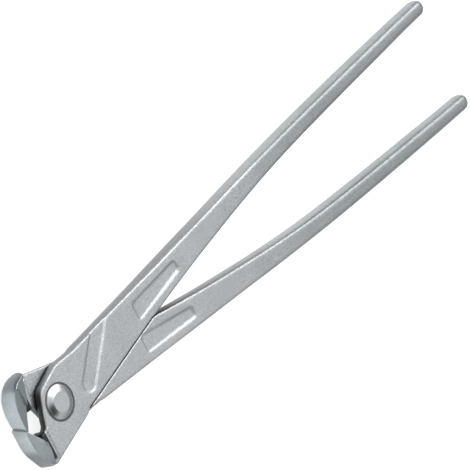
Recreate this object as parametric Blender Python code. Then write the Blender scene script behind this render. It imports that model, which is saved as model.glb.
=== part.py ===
"""Rebar tying pliers: two forged steel arms crossing in a lap joint on one rivet.

Metres, +Z up. The pliers lie flat and closed, the handles point along +X, and the rivet stands
along Z. Both arms are the same forging: the rear arm is the front arm turned half round on X.
Each object's origin is on the rivet's axis, halfway through the joint.
"""

from math import atan2, cos, pi, radians, sin, sqrt, tan

import bmesh
import bpy
from mathutils import Matrix, Vector

MM = 0.001
SAME_POINT = 0.001 * MM  # points nearer than this are one point
SHARP_ANGLE = radians(35)  # edges that turn more than this are shaded sharp

# Overall sizes
HANDLE_REACH = 232.5 * MM  # rivet axis to handle tips
JAW_REACH = 17.5 * MM  # rivet axis to the outside of the jaws
HEAD_HALF_WIDTH = 16.0 * MM  # mid-plane to a jaw's outer corner, before it is rounded
JOINT_THICKNESS = 5.6 * MM  # both laps together
TIP_OFFSET = 19.4 * MM  # mid-plane to the middle of a handle tip

# Clearances
LAP_GAP = 0.3 * MM  # between the two lap faces
STOP_GAP = 0.3 * MM  # between the shoulders that stop the arms when closed
EDGE_GAP = 0.3 * MM  # between the closed cutting edges
BORE_CLEARANCE = 0.1 * MM  # rivet shank to bore, on the radius
SEAT_GAP = 0.15 * MM  # under each rivet head

# Jaw
JAW_WIDTH = 9.0 * MM  # length of the cutting edge
JAW_DEPTH = 4.4 * MM  # outside face to back face
JAW_FLAT = 7.9 * MM  # mid-plane to where the outside face starts to turn
JAW_ROUND = 13.0 * MM  # radius of that turn
JAW_CORNER_REACH = 13.7 * MM  # rivet axis to the outer corner
CORNER_ROUND = 2.6 * MM
LAP_SIDE_RELIEF = 0.7 * MM  # the lap's side of the jaw stands this much further in
LAP_SIDE_DROP = 2.0 * MM  # and its corner stops this much short
PLAIN_SIDE_RELIEF = 0.3 * MM  # the same on the other side
PLAIN_SIDE_DROP = 3.0 * MM
PLAIN_SIDE_SLIDE = 1.4 * MM  # its corner also moves this much along the jaw's slope
PLAIN_SIDE_DEPTH = 1.7 * MM  # the jaw is this much deeper there
PLAIN_SIDE_FALL = 0.9 * MM  # that side falls this much towards the back of the jaw
EDGE_SETBACK = 0.3 * MM  # the outer bevel takes this off the outside face
EDGE_BEVEL = 1.4 * MM  # and reaches this far down it
JAW_EDGE_ROUND = 0.4 * MM
THROAT_HALF = 6.3 * MM  # mid-plane to the floor of the throat

# Joint, on the lap's outline
WALL_REACH = 8.5 * MM  # rivet axis to the bend in the lap's wall
WALL_BEND = 0.4 * MM  # that bend's height above the mid-plane
CHEEK_REACH = 5.3 * MM  # rivet axis to the lap's upper corner
CHEEK_HEIGHT = 7.3 * MM
CHEEK_ROUND = 4.0 * MM
BROW_REACH = 5.0 * MM  # rivet axis to where the top of the lap levels out
BROW_HALF_WIDTH = 10.9 * MM
WAIST_REACH = 14.0 * MM
WAIST_HALF_WIDTH = 10.5 * MM
WAIST_ROUND = 10.0 * MM
FLOOR_REACH = 10.1 * MM  # rivet axis to the back corner of the throat
FLOOR_RISE = 1.0 * MM
THROAT_ROUND = 2.2 * MM
NOTCH_REACH = 9.7 * MM  # rivet axis to the corner where the other arm's shoulder starts
NOTCH_DEPTH = 8.6 * MM
NOTCH_HALF_WIDTH = 9.85 * MM  # mid-plane to the outside of the lap there
RELIEF_REACH = 7.2 * MM  # rivet axis to where the lap's corner is cut back for the other arm's swing
CROTCH_REACH = 50.5 * MM  # rivet axis to the point where the handles part
CROTCH_DIP = 0.6 * MM
STEP_REACH = 10.3 * MM  # rivet axis to the step at the root of the jaw
STEP_SLANT = 2.9 * MM  # how far the step comes back at the outer corner
ROOT_REACH = 10.0 * MM  # rivet axis to where the face starts to fall towards the jaw
ROOT_DROP = 0.9 * MM  # and how much it falls by the back of the jaw
HEEL_REACH = 14.0 * MM  # rivet axis to the end of the flat heel beside the shoulder
HEEL_HALF_WIDTH = 8.7 * MM
HEEL_END = 19.5 * MM  # rivet axis to where the heel meets the outside of the arm
HEEL_RISE = 2.6 * MM

# Sides of the forging: bulged, with the corner of their section part of a flattened ellipse
SIDE_BULGE = 0.8 * MM
PLAIN_SIDE_DRAFT = 0.8 * MM  # the shank is this much narrower at its plain face
DRAFT_REACH = 70.0 * MM  # rivet axis to where that draft has run out
SIDE_POWER = 2.4
GRIP_POWER = 3.0

# Handle
HANDLE_START_HALF = 5.9 * MM  # half width at the first station past the crotch
TIP_HALF_WIDTH = 2.9 * MM
GRIP_THICKNESS = 7.0 * MM
TIP_THICKNESS = 6.2 * MM
TIP_LENGTH = 3.6 * MM  # rounded end
TIP_FLAT = 0.2 * MM  # half width of what stays flat on the tip's faces

# Stations along the handle, as shares: of the reach, of the tip's offset, of the way from the
# tip's half width to the first station's, and of the way from the joint's thickness to the grip's.
HANDLE_SHARES = (
    (0.267, 0.385, 1.000, 0.20),
    (0.331, 0.480, 0.760, 0.36),
    (0.400, 0.573, 0.540, 0.52),
    (0.477, 0.674, 0.360, 0.70),
    (0.555, 0.759, 0.215, 0.88),
    (0.632, 0.822, 0.155, 1.00),
    (0.710, 0.871, 0.120, 1.00),
    (0.788, 0.914, 0.090, 0.92),
    (0.866, 0.951, 0.065, 0.78),
    (0.940, 0.986, 0.020, 0.55),
)

# Recessed panels, left bare
PANEL_DEPTH = 0.4 * MM
SLOT_HALF_WIDTH = 2.95 * MM
SLOT_START = (14.2 * MM, -2.1 * MM)
SLOT_ANGLE = radians(42.3)
TAG_REACH = (45.0 * MM, 70.0 * MM)  # both ends of the long panel on the lap's side
WORD_REACH = (42.0 * MM, 67.6 * MM)  # both ends of the long panel on the other side
PANEL_BIG_HALF = 3.3 * MM
PANEL_SMALL_HALF = 2.0 * MM
PANEL_ROUND = 1.3 * MM

# Rivet
SHANK_RADIUS = 3.4 * MM
HEAD_RADIUS = 5.9 * MM
HEAD_HEIGHT = 1.1 * MM
HEAD_FLAT_RADIUS = 3.3 * MM
HEAD_RIM = 0.2 * MM
SEAT_DEPTH = 0.4 * MM  # each head sits in a shallow round seat
SEAT_CLEARANCE = 0.25 * MM  # around the head
HEAD_DOME = radians(50)  # how much of a quarter turn the dome's profile takes

OVERRUN = 6.0 * MM  # how far cutters reach past what they cut
ROUND_STEPS = 6  # facets in a quarter round
RIVET_SIDES = 40

HALF_THICKNESS = JOINT_THICKNESS / 2
NOTCH = Vector((NOTCH_REACH, -NOTCH_DEPTH))
CROTCH = Vector((CROTCH_REACH, 0))
JAW_BACK = JAW_REACH - JAW_DEPTH
CLOSED_CENTRE = (HANDLE_REACH - JAW_REACH) / 2  # rivet axis to the middle of the length


def clear_scene():
    for obj in list(bpy.data.objects):
        bpy.data.objects.remove(obj, do_unlink=True)


def steel(name, colour, roughness):
    material = bpy.data.materials.new(name)
    material.use_nodes = True
    shader = material.node_tree.nodes["Principled BSDF"]
    shader.inputs["Base Color"].default_value = (*colour, 1)
    shader.inputs["Metallic"].default_value = 1
    shader.inputs["Roughness"].default_value = roughness
    return material


def object_from(bm, name, material=None):
    mesh = bpy.data.meshes.new(name)
    bmesh.ops.recalc_face_normals(bm, faces=bm.faces)
    bm.to_mesh(mesh)
    bm.free()
    mesh.shade_smooth()
    mesh.set_sharp_from_angle(angle=SHARP_ANGLE)
    obj = bpy.data.objects.new(name, mesh)
    bpy.context.scene.collection.objects.link(obj)
    if material:
        mesh.materials.append(material)
    return obj


def arc(centre, radius, start, end, steps):
    """Points on a circle from one angle to the other, both ends included."""
    turns = [start + (end - start) * i / steps for i in range(steps + 1)]
    return [Vector((centre[0] + radius * cos(a), centre[1] + radius * sin(a))) for a in turns]


def inset_corners(corners, inset):
    """An anticlockwise list of (x, y, radius) corners, with every side moved inwards."""
    moved = []
    for i, (x, y, radius) in enumerate(corners):
        here = Vector((x, y))
        arriving = (here - Vector(corners[i - 1][:2])).normalized()
        leaving = (Vector(corners[(i + 1) % len(corners)][:2]) - here).normalized()
        bend = arriving.cross(leaving)
        inwards = (leaving - arriving) * inset / bend
        if radius:
            radius += -inset if bend > 0 else inset
        moved.append((x + inwards.x, y + inwards.y, radius))
    return moved


def rounded(corners, inset=0):
    """The outline through (x, y, radius) corners, with each corner turned into an arc."""
    outline = []
    corners = inset_corners(corners, inset)
    for i, (x, y, radius) in enumerate(corners):
        here = Vector((x, y))
        back = (Vector(corners[i - 1][:2]) - here).normalized()
        ahead = (Vector(corners[(i + 1) % len(corners)][:2]) - here).normalized()
        if not radius:
            outline.append(here)
            continue
        half = back.angle(ahead) / 2
        centre = here + (back + ahead).normalized() * radius / sin(half)
        first = here + back * radius / tan(half) - centre
        last = here + ahead * radius / tan(half) - centre
        start = atan2(first.y, first.x)
        swing = (atan2(last.y, last.x) - start + pi) % (2 * pi) - pi
        outline += arc(centre, radius, start, start + swing, ROUND_STEPS)
    return outline


def stack(levels):
    """A closed solid through matching outlines, each at its own height."""
    bm = bmesh.new()
    last = None
    for outline, height in levels:
        ring = [bm.verts.new((p[0], p[1], height)) for p in outline]
        if last is None:
            bm.faces.new(ring)
        else:
            for i in range(len(ring)):
                bm.faces.new((last[i - 1], last[i], ring[i], ring[i - 1]))
        last = ring
    bm.faces.new(last)
    bmesh.ops.recalc_face_normals(bm, faces=bm.faces)
    return bm


def slice_off(bm, point, outwards):
    """Takes away what lies outside a plane, and leaves the cut open."""
    whole = bm.verts[:] + bm.edges[:] + bm.faces[:]
    bmesh.ops.bisect_plane(bm, geom=whole, plane_co=point, plane_no=outwards, clear_outer=True)


def close_cut(bm):
    """Puts a face over the one open cut."""
    bmesh.ops.contextual_create(bm, geom=[e for e in bm.edges if e.is_boundary])


def prism(outline, low, high):
    """A closed solid over a flat outline, from one height to another."""
    return stack([(outline, low), (outline, high)])


def cutter(outline, low, high, name):
    obj = object_from(prism(outline, low, high), name)
    obj.hide_render = True
    obj.display_type = "WIRE"
    return obj


def combine(obj, other, operation):
    """Adds or takes away another object with an exact Boolean, and keeps the result as mesh."""
    modifier = obj.modifiers.new(other.name, "BOOLEAN")
    modifier.operation = operation
    modifier.solver = "EXACT"
    modifier.object = other
    depsgraph = bpy.context.evaluated_depsgraph_get()
    mesh = bpy.data.meshes.new_from_object(obj.evaluated_get(depsgraph))
    obj.modifiers.remove(modifier)
    obj.data = mesh
    bpy.data.objects.remove(other, do_unlink=True)


def side_curve(power):
    """Shares of the bulge and of the half thickness, from the middle of a side to its face."""
    turns = [i / ROUND_STEPS * pi / 2 for i in range(ROUND_STEPS)]
    curve = [(cos(turn) ** (2 / power), sin(turn) ** (2 / power)) for turn in turns]
    return [*curve, (0, 1)]


def section(x, middle, half_width, half_thickness, bulge, power):
    """A ring of points round the handle, upper side first."""
    curve = side_curve(power)
    upper = [(half_width - bulge + bulge * out, up * half_thickness) for out, up in curve]
    side = [(y, z) for y, z in reversed(upper)] + [(y, -z) for y, z in upper[1:]]
    ring = [(x, middle + y, z) for y, z in side]
    return ring + [(x, middle - y, -z) for y, z in side]


def handle_sections():
    """Rings from the first station of the handle to its rounded tip."""
    rings = []
    for i, (reach, offset, width, thickness) in enumerate(HANDLE_SHARES):
        half = TIP_HALF_WIDTH + width * (HANDLE_START_HALF - TIP_HALF_WIDTH)
        depth = HALF_THICKNESS + thickness * (GRIP_THICKNESS / 2 - HALF_THICKNESS)
        share = (i + 1) / len(HANDLE_SHARES)
        bulge = SIDE_BULGE + share * (TIP_HALF_WIDTH - TIP_FLAT - SIDE_BULGE)
        power = SIDE_POWER + min(1, 2 * share) * (GRIP_POWER - SIDE_POWER)
        rings.append(section(reach * HANDLE_REACH, offset * TIP_OFFSET, half, depth, bulge, power))
    shoulder = HANDLE_REACH - TIP_LENGTH
    for i in range(ROUND_STEPS + 1):
        turn = i / (ROUND_STEPS + 1) * pi / 2
        ahead = sin(turn) / sin(ROUND_STEPS / (ROUND_STEPS + 1) * pi / 2)
        half = TIP_HALF_WIDTH * cos(turn)
        depth = TIP_THICKNESS / 2 * cos(turn)
        bulge = (TIP_HALF_WIDTH - TIP_FLAT) * cos(turn)
        power = GRIP_POWER + (2 - GRIP_POWER) * sin(turn)
        rings.append(section(shoulder + TIP_LENGTH * ahead, TIP_OFFSET, half, depth, bulge, power))
    return rings


def outside_slope():
    """How fast the outside of the shank rises from the waist to the first handle station."""
    reach, offset = HANDLE_SHARES[0][:2]
    outside = offset * TIP_OFFSET + HANDLE_START_HALF
    return (outside - WAIST_HALF_WIDTH) / (reach * HANDLE_REACH - WAIST_REACH)


def inside_slope():
    """How fast the inner side of the shank rises from the crotch to the first handle station."""
    reach, offset = HANDLE_SHARES[0][:2]
    inside = offset * TIP_OFFSET - HANDLE_START_HALF
    return (inside + CROTCH_DIP) / (reach * HANDLE_REACH - CROTCH_REACH)


def plate_corners(draft):
    """Plan of the head and shank, anticlockwise, with the outer side drawn in by the draft."""
    end = CROTCH_REACH + OVERRUN
    inside_jaw = JAW_BACK + SIDE_BULGE
    faded = draft * (DRAFT_REACH - end) / (DRAFT_REACH - WAIST_REACH)
    return [
        (end, OVERRUN * inside_slope() - CROTCH_DIP, 0),
        (end, WAIST_HALF_WIDTH + (end - WAIST_REACH) * outside_slope() - faded, 0),
        (WAIST_REACH, WAIST_HALF_WIDTH - draft, WAIST_ROUND),
        (BROW_REACH, BROW_HALF_WIDTH - draft, WAIST_ROUND),
        (-CHEEK_REACH, CHEEK_HEIGHT, CHEEK_ROUND),
        (-WALL_REACH, WALL_BEND, 2 * CHEEK_ROUND),
        (-FLOOR_REACH, FLOOR_RISE - THROAT_HALF, THROAT_ROUND),
        (-inside_jaw, -THROAT_HALF - SIDE_BULGE / 2, 0),
        (-inside_jaw, -HEAD_HALF_WIDTH + 2 * CORNER_ROUND, 0),
        (-JAW_BACK + SIDE_BULGE / 4, -HEAD_HALF_WIDTH, CORNER_ROUND / 2),
        (NOTCH_REACH, -NOTCH_HALF_WIDTH, 0),
        (NOTCH_REACH + SIDE_BULGE, -NOTCH_HALF_WIDTH - 2 * SIDE_BULGE, 0),
        (CROTCH_REACH, -CROTCH_DIP, 0),
    ]


def plate():
    """Head and shank: the plan stacked into a plate with bulged sides, open at the handle's end."""
    upper = [(SIDE_BULGE * (1 - out), up) for out, up in side_curve(SIDE_POWER)]
    levels = []
    for inset, up in reversed(upper):
        corners = plate_corners(PLAIN_SIDE_DRAFT * up)
        levels.append((rounded(corners, inset), -up * HALF_THICKNESS))
    for inset, up in upper[1:]:
        levels.append((rounded(plate_corners(0), inset), up * HALF_THICKNESS))
    bm = stack(levels)
    slice_off(bm, (CROTCH_REACH + SIDE_BULGE, 0, 0), (1, 0, 0))
    return bm


def add_ring(bm, points):
    verts = [bm.verts.new(p) for p in points]
    return [bm.edges.new((verts[i - 1], verts[i])) for i in range(len(verts))]


def arm_body():
    """Head, shank and handle as one skin, before the lap and the panels are cut."""
    bm = plate()
    last = [e for e in bm.edges if e.is_boundary]
    for points in handle_sections():
        ring = add_ring(bm, points)
        bmesh.ops.bridge_loops(bm, edges=last + ring)
        last = ring
    bmesh.ops.contextual_create(bm, geom=last)
    return bm


def edge_slope():
    """How fast the inside of the jaw falls from the cutting edge to the throat's floor."""
    return (THROAT_HALF - EDGE_GAP / 2) / (JAW_DEPTH - EDGE_SETBACK)


def jaw_corners(relief, drop, slide):
    """Plan of the jaw, with its outside face and its outer corner drawn in."""
    half_width = HEAD_HALF_WIDTH - drop
    corner_reach = JAW_CORNER_REACH - relief / 2 + slide
    return [
        (-JAW_BACK + OVERRUN, -THROAT_HALF - OVERRUN * edge_slope(), 0),
        (-JAW_REACH + EDGE_SETBACK + relief / 2, -EDGE_GAP / 2, 0),
        (-JAW_REACH + relief, -EDGE_GAP / 2 - EDGE_BEVEL, 0),
        (-JAW_REACH + relief, -JAW_FLAT, JAW_ROUND),
        (-corner_reach, -half_width, CORNER_ROUND),
        (-JAW_BACK + OVERRUN, -half_width, 0),
    ]


def jaw_outlines(relief, drop, slide):
    """Outlines from the jaw's middle to one side, drawn in along a quarter round."""
    half = JAW_WIDTH / 2
    outlines = []
    for i in range(ROUND_STEPS + 1):
        turn = i / ROUND_STEPS * pi / 2
        share = 1 - cos(turn)
        corners = jaw_corners(share * relief, share * drop, share * slide)
        outlines.append((rounded(corners), (half - JAW_EDGE_ROUND) * sin(turn)))
    outlines.append((rounded(corners, JAW_EDGE_ROUND), half))
    return outlines


def jaw():
    """The jaw's block, crowned along its width."""
    plain = jaw_outlines(PLAIN_SIDE_RELIEF, PLAIN_SIDE_DROP, PLAIN_SIDE_SLIDE)
    lap = jaw_outlines(LAP_SIDE_RELIEF, LAP_SIDE_DROP, 0)
    bm = stack([(outline, -z) for outline, z in reversed(plain)] + lap[1:])
    slice_off(bm, (-JAW_REACH, 0, -JAW_WIDTH / 2), (PLAIN_SIDE_FALL / JAW_DEPTH, 0, -1))
    close_cut(bm)
    slice_off(bm, (-JAW_BACK, 0, JAW_WIDTH / 2), (1, 0, PLAIN_SIDE_DEPTH / JAW_WIDTH))
    close_cut(bm)
    return object_from(bm, "jaw_block")


def shoulder_line(side):
    """Both ends of the closing shoulder, moved off its line by half the stop gap."""
    start = Vector((NOTCH.x, side * NOTCH.y))
    end = CROTCH
    along = (end - start).normalized()
    shift = Vector((-along.y, along.x)) * STOP_GAP / 2
    return start + shift, end + shift


def shoulder_cutter():
    """Takes away what lies on the other arm's side of the shoulder, through the full thickness."""
    start, end = shoulder_line(1)
    far = HEAD_HALF_WIDTH + OVERRUN
    swing = sqrt(start.length_squared - RELIEF_REACH**2)
    outline = [
        Vector((RELIEF_REACH, -swing)),
        start,
        end,
        Vector((CROTCH.x + OVERRUN * 2, STOP_GAP / 2)),
        Vector((CROTCH.x + OVERRUN * 2, -far)),
        Vector((RELIEF_REACH, -far)),
    ]
    return cutter(outline, -HALF_THICKNESS - OVERRUN, HALF_THICKNESS + OVERRUN, "shoulder_cut")


def lap_cutter():
    """The recess that takes the other arm's lap, from the jaw's root to the shoulder."""
    start, end = shoulder_line(-1)
    far = HEAD_HALF_WIDTH + OVERRUN
    slope = STEP_SLANT / (HEAD_HALF_WIDTH - THROAT_HALF)
    step_top = Vector((-STEP_REACH - slope * OVERRUN / 2, -THROAT_HALF + OVERRUN / 2))
    step_foot = Vector((-STEP_REACH + slope * (far - THROAT_HALF), -far))
    outline = [
        step_top,
        step_foot,
        Vector((CROTCH.x + OVERRUN, -far)),
        Vector((CROTCH.x + OVERRUN, STOP_GAP / 2)),
        end,
        start,
        Vector((HEEL_REACH, HEEL_HALF_WIDTH)),
        Vector((HEEL_END, HEEL_HALF_WIDTH + HEEL_RISE)),
        Vector((HEEL_END, far)),
        Vector((step_top.x, far)),
    ]
    return cutter(outline, -HALF_THICKNESS - OVERRUN, LAP_GAP / 2, "lap_cut")


def root_cutters():
    """Wedges that let the face fall away from the step to the back of the jaw."""
    start = Vector((-ROOT_REACH, HALF_THICKNESS))
    slope = ROOT_DROP / (JAW_BACK - ROOT_REACH)
    far = JAW_REACH + OVERRUN - ROOT_REACH
    low = start + Vector((-far, -slope * far))
    high = start + Vector((-far, OVERRUN))
    outline = [start, low, high, start + Vector((0, OVERRUN))]
    for side in (1, -1):
        bm = prism(outline, -HEAD_HALF_WIDTH - OVERRUN, 0)
        turn = Matrix(((1, 0, 0), (0, 0, 1), (0, side, 0)))
        bmesh.ops.transform(bm, matrix=turn.to_4x4(), verts=bm.verts)
        obj = object_from(bm, "root_cut")
        yield obj


def round_cutter(radius, low, name):
    """A cylinder on the rivet's axis, from a height up through the lap's face."""
    ring = arc((0, 0), radius, 0, 2 * pi * (RIVET_SIDES - 1) / RIVET_SIDES, RIVET_SIDES - 1)
    return cutter(ring, low, HALF_THICKNESS + OVERRUN, name)


def slot_cutter():
    """The slanted slot beside the rivet: round at its foot, open at the arm's edge."""
    along = Vector((cos(SLOT_ANGLE), sin(SLOT_ANGLE)))
    across = Vector((-along.y, along.x)) * SLOT_HALF_WIDTH
    far = Vector(SLOT_START) + along * 2 * HEAD_HALF_WIDTH  # out through the edge of the arm
    first = SLOT_ANGLE + pi / 2
    foot = arc(SLOT_START, SLOT_HALF_WIDTH, first, first + pi, 2 * ROUND_STEPS)
    outline = [*foot, far - across, far + across]
    return cutter(outline, HALF_THICKNESS - PANEL_DEPTH, HALF_THICKNESS + OVERRUN, "slot_cut")


def handle_middle(x):
    """Height of the handle's centre line near the crotch."""
    (near, low), (far, high) = (HANDLE_SHARES[0][:2], HANDLE_SHARES[1][:2])
    slope = (high - low) * TIP_OFFSET / ((far - near) * HANDLE_REACH)
    return low * TIP_OFFSET + slope * (x - near * HANDLE_REACH)


def panel_cutter(reach, side):
    """A long rounded panel on the shank, narrower towards the tip."""
    start, end = reach
    corners = [
        (start, handle_middle(start) - PANEL_BIG_HALF, PANEL_ROUND),
        (end, handle_middle(end) - PANEL_SMALL_HALF, PANEL_ROUND),
        (end, handle_middle(end) + PANEL_SMALL_HALF, PANEL_ROUND),
        (start, handle_middle(start) + PANEL_BIG_HALF, PANEL_ROUND),
    ]
    floor = HALF_THICKNESS - PANEL_DEPTH
    low, high = (floor, floor + OVERRUN) if side > 0 else (-floor - OVERRUN, -floor)
    return cutter(rounded(corners), low, high, "panel_cut")


def arm(name, material):
    """One forging, with its jaw, lap, bore and panels."""
    obj = object_from(arm_body(), name, material)
    for wedge in root_cutters():
        combine(obj, wedge, "DIFFERENCE")
    combine(obj, jaw(), "UNION")
    combine(obj, shoulder_cutter(), "DIFFERENCE")
    combine(obj, lap_cutter(), "DIFFERENCE")
    seat = round_cutter(HEAD_RADIUS + SEAT_CLEARANCE, HALF_THICKNESS - SEAT_DEPTH, "seat_cut")
    combine(obj, seat, "DIFFERENCE")
    bore = round_cutter(SHANK_RADIUS + BORE_CLEARANCE, -HALF_THICKNESS, "bore_cut")
    combine(obj, bore, "DIFFERENCE")
    combine(obj, slot_cutter(), "DIFFERENCE")
    combine(obj, panel_cutter(TAG_REACH, 1), "DIFFERENCE")
    combine(obj, panel_cutter(WORD_REACH, -1), "DIFFERENCE")
    obj.data.shade_smooth()
    obj.data.set_sharp_from_angle(angle=SHARP_ANGLE)
    return obj


def rivet(name, material):
    """A turned rivet with a domed, flat-topped head on both sides."""
    seat = HALF_THICKNESS - SEAT_DEPTH + SEAT_GAP
    profile = [(0, seat + HEAD_HEIGHT)]
    for i in range(ROUND_STEPS + 1):
        turn = i / ROUND_STEPS * HEAD_DOME
        profile.append(
            (
                HEAD_FLAT_RADIUS + (HEAD_RADIUS - HEAD_FLAT_RADIUS) * sin(turn) / sin(HEAD_DOME),
                seat + HEAD_HEIGHT - (HEAD_HEIGHT - HEAD_RIM) * (1 - cos(turn)) / (1 - cos(HEAD_DOME)),
            )
        )
    profile += [(HEAD_RADIUS, seat), (SHANK_RADIUS, seat)]
    profile += [(r, -z) for r, z in reversed(profile)]
    bm = bmesh.new()
    verts = [bm.verts.new((r, 0, z)) for r, z in profile]
    edges = [bm.edges.new(pair) for pair in zip(verts, verts[1:])]
    bmesh.ops.spin(
        bm,
        geom=verts + edges,
        cent=(0, 0, 0),
        axis=(0, 0, 1),
        angle=2 * pi,
        steps=RIVET_SIDES,
        use_merge=True,
    )
    bmesh.ops.remove_doubles(bm, verts=bm.verts, dist=SAME_POINT)
    return object_from(bm, name, material)


def main():
    clear_scene()
    forged = steel("zinc_plated_steel", (0.56, 0.58, 0.59), 0.42)
    turned = steel("rivet_steel", (0.6, 0.61, 0.62), 0.28)
    pliers = bpy.data.objects.new("pliers", None)
    bpy.context.scene.collection.objects.link(pliers)
    pliers.location = (-CLOSED_CENTRE, 0, JAW_WIDTH / 2)
    front = arm("front_arm", forged)
    rear = bpy.data.objects.new("rear_arm", front.data)  # the same forging
    bpy.context.scene.collection.objects.link(rear)
    rear.rotation_euler = (pi, 0, 0)
    for piece in (front, rear, rivet("rivet", turned)):
        piece.parent = pliers


main()
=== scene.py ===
from collections import namedtuple
from math import atan2, cos, pi, radians, sin, sqrt, tan

import bmesh
import bpy
from bpy.props import FloatProperty, FloatVectorProperty, IntProperty, PointerProperty
from bpy.types import Operator, Panel, PropertyGroup
from mathutils import Matrix, Vector


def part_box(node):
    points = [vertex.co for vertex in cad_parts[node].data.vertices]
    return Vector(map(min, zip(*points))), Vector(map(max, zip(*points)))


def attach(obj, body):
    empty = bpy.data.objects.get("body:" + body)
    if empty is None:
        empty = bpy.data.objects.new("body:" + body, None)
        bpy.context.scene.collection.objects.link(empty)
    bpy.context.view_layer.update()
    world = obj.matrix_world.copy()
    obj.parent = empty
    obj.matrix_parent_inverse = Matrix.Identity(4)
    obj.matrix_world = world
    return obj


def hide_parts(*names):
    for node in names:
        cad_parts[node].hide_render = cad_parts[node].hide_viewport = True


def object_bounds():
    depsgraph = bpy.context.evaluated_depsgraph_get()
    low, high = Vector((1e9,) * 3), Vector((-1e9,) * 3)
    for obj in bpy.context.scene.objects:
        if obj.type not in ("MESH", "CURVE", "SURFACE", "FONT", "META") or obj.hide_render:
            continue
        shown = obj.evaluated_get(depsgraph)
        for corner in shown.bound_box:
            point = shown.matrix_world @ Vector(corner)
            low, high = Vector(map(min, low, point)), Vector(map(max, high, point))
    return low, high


bl_info = {
    "name": "Rebar tying pliers",
    "version": (1, 0, 0),
    "blender": (4, 5, 0),
    "location": "View3D > Sidebar > Pliers",
    "description": "Forged arms, turned rivet and studio stage for a pair of rebar tying pliers",
    "category": "Object",
}

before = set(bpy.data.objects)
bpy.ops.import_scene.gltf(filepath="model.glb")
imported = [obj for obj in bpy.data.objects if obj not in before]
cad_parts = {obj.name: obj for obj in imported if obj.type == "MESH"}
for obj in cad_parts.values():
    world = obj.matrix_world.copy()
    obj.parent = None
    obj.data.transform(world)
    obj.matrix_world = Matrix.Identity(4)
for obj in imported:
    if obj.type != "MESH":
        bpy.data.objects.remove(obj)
CAD_BOX = [list(corner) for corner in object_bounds()]

MM = 0.001
RIVET_LOW, RIVET_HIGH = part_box("rivet")
AXIS = (RIVET_LOW + RIVET_HIGH) / 2  # halfway along the rivet: the arms are drawn round this point
JAW_WIDTH = 8.99 * MM  # just inside the solids' 9 mm
JOINT_THICKNESS = 5.6 * MM
HALF_THICKNESS = JOINT_THICKNESS / 2

# Arm, along the handle from the rivet's axis
HANDLE_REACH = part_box("front_arm")[1].x - AXIS.x
JAW_REACH = AXIS.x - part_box("front_arm")[0].x
HEAD_HALF_WIDTH = 16.0 * MM
TIP_OFFSET = 19.4 * MM
LAP_GAP = 0.3 * MM
STOP_GAP = 0.24 * MM
EDGE_GAP = -0.14 * MM  # below zero, since softening draws the thin cutting edges back

# Jaw
JAW_DEPTH = 4.4 * MM
JAW_BACK = JAW_REACH - JAW_DEPTH
JAW_FLAT = 7.9 * MM
JAW_ROUND = 13.0 * MM
JAW_CORNER_REACH = 13.7 * MM
CORNER_ROUND = 2.6 * MM
EDGE_SETBACK = 0.7 * MM
EDGE_BEVEL = 1.6 * MM
EDGE_SLANT = 0.18
THROAT_HALF = 6.3 * MM
PLAIN_SIDE_FALL = 0.9 * MM
PLAIN_SIDE_DEPTH = 1.7 * MM
WIDEST_ROUND = 2.0 * MM  # a wider edge round is cut as a flat chamfer
CHAMFER_SLOPE = 0.78
# How far a jaw's side is drawn in at the face, at the end and along the slope, and its rounds
JawSide = namedtuple("JawSide", "relief drop slide edge_round corner_round")
# For each jaw, the corner's round at the middle of its width, then the plain and the lap side
LOWER_MIDDLE_ROUND = 3.2 * MM
LOWER_SIDES = (
    JawSide(0.3 * MM, 0.4 * MM, 0.3 * MM, 0.4 * MM, 1.4 * MM),
    JawSide(0.5 * MM, 0.9 * MM, 0.2 * MM, 2.9 * MM, 3.2 * MM),
)
UPPER_MIDDLE_ROUND = 6.4 * MM
UPPER_SIDES = (
    JawSide(0.3 * MM, 3.6 * MM, 1.4 * MM, 0.4 * MM, 2.9 * MM),
    JawSide(0.9 * MM, 2.0 * MM, 0, 0.6 * MM, 8.0 * MM),
)
# The upper jaw's ground facet, and where the crowned ends begin
FACET_POINT = (-17.1 * MM, -0.3 * MM, -3.05 * MM)
FACET_TILT = (0.16, 0.06, -1)
FACET_END = 13.2 * MM
CROWN_END = 12.6 * MM
FACET_BACK = 12.5 * MM
FACET_ROUND = 0.8 * MM

# Joint
WALL_REACH = 8.5 * MM
WALL_BEND = 0.4 * MM
CHEEK_REACH = 5.3 * MM
CHEEK_HEIGHT = 7.3 * MM
CHEEK_ROUND = 4.0 * MM
BROW_REACH = 5.0 * MM
BROW_HALF_WIDTH = 10.9 * MM
WAIST_REACH = 14.0 * MM
WAIST_HALF_WIDTH = 10.5 * MM
WAIST_ROUND = 10.0 * MM
FLOOR_REACH = 10.1 * MM
FLOOR_RISE = 2.2 * MM
FLOOR_END = 12.6 * MM
THROAT_ROUND = 2.2 * MM
NOTCH = Vector((9.7 * MM, -8.6 * MM))
NOTCH_HALF_WIDTH = 9.85 * MM
RELIEF_REACH = 7.2 * MM
REAR_WALL = 1.2 * MM
TUCKED_CORNER = [(-11.8 * MM, -13.7 * MM, 0), (-8.3 * MM, -14.74 * MM, 0)]  # behind the upper jaw
CROTCH_REACH = 50.5 * MM
CROTCH_DIP = 0.6 * MM
STEP_REACH = 10.3 * MM
STEP_SLANT = 2.9 * MM
STEP_SLOPE = STEP_SLANT / (HEAD_HALF_WIDTH - THROAT_HALF)
ROOT_REACH = 10.0 * MM
# The step down to the root, then the slope's fall to the jaw, on the lap side and the plain side
ROOT_FALLS = {1: (0.2 * MM, 0.03 * MM), -1: (0, 0.6 * MM)}
HEEL = (14.0 * MM, 8.7 * MM)
HEEL_END = (19.5 * MM, 11.3 * MM)

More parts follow.
